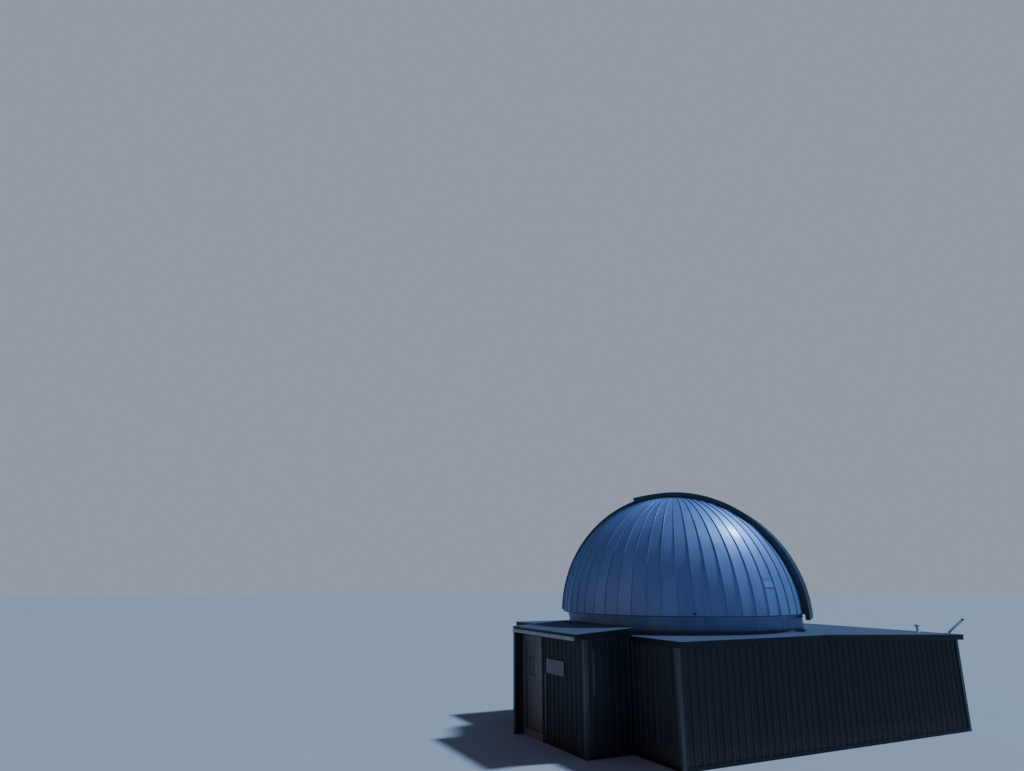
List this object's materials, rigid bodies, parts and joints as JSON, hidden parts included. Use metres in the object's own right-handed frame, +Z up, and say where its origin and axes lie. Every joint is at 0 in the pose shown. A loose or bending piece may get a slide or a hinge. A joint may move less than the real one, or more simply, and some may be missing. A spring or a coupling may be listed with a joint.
{
  "type": "observatory dome building",
  "caption": "Ribbed metal observatory dome with an up-and-over shutter, turning on a drum on a flat-roofed clad building with an entrance porch.",
  "frame": {"origin": "on the ground, on the vertical axis that the dome turns about", "axes": "+X along the front wall to its right end, away from the porch; +Y from the front wall to the rear wall; +Z up"},
  "size_m": [10.9993, 7.679, 6.073],
  "materials": {
    "dome_metal": "satin silver sheet",
    "slate_metal": "satin slate paint",
    "brown_grey_metal": "satin brownish grey paint",
    "roof_metal": "pale satin roof sheet",
    "drum_metal": "pale satin paint",
    "wall_cladding": "ribbed steel sheet, dark grey, satin",
    "dark_trim": "dark satin flashing",
    "pale_trim": "pale satin flashing",
    "concrete": "trowelled concrete",
    "door_paint": "warm off-white paint, satin",
    "sign_sheet": "bare pale sheet, matt",
    "glazing": "clear glass",
    "bare_steel": "dull bare steel"
  },
  "bodies": {
    "building": {"main_floor": "concrete", "front_wall": "wall_cladding", "rear_wall": "wall_cladding", "right_wall": "wall_cladding", "left_wall_front": "wall_cladding", "left_wall_rear": "wall_cladding", "left_wall_lintel": "wall_cladding", "roof_front": "roof_metal", "roof_rear": "roof_metal", "front_fascia": "dark_trim", "rear_fascia": "dark_trim", "left_fascia_front": "dark_trim", "left_fascia_rear": "dark_trim", "right_fascia": "dark_trim", "porch_floor": "concrete", "porch_near_wall": "wall_cladding", "porch_far_wall": "wall_cladding", "door_wall": "wall_cladding", "door_lintel": "wall_cladding", "porch_roof": "roof_metal", "porch_fascias": "dark_trim", "porch_front_board": "pale_trim", "door_frame": "door_paint", "sign_plate": "sign_sheet", "drum_front": "drum_metal", "drum_right": "drum_metal", "drum_rear": "drum_metal", "drum_left": "drum_metal", "roller_track": "bare_steel", "vent_cowl": "pale_trim", "roof_arm": "pale_trim"},
    "dome": {"dome_base_ring": "slate_metal", "dome_panel_left_front": "dome_metal", "dome_panel_left_rear": "dome_metal", "dome_panel_right_rear": "dome_metal", "dome_panel_right_front": "dome_metal", "slit_rail_left": "slate_metal", "slit_rail_right": "slate_metal", "slit_rear_strip": "dome_metal", "slit_sill": "slate_metal", "slit_header": "slate_metal"},
    "shutter": {"shutter_skin": "slate_metal", "shutter_lower_panel": "brown_grey_metal", "shutter_cheek_left": "slate_metal", "shutter_cheek_right": "slate_metal"},
    "entrance_door": {"door_leaf": "door_paint", "door_glass": "glazing", "door_handles": "bare_steel"}
  },
  "joints": [
    {"name": "dome_rotation", "type": "hinge", "parent": "building", "child": "dome", "pos_m": [0, 0, 2.736], "axis": [0, 0, 1], "continuous": true},
    {"name": "shutter_travel", "type": "hinge", "parent": "dome", "child": "shutter", "pos_m": [0, 0, 2.736], "axis": [-0.781, -0.6246, 0], "range_deg": [0, 65]},
    {"name": "door_hinge", "type": "hinge", "parent": "building", "child": "entrance_door", "pos_m": [-4.3533, 0.766, 1.2], "axis": [0, 0, 1], "range_deg": [0, 90]}
  ]
}
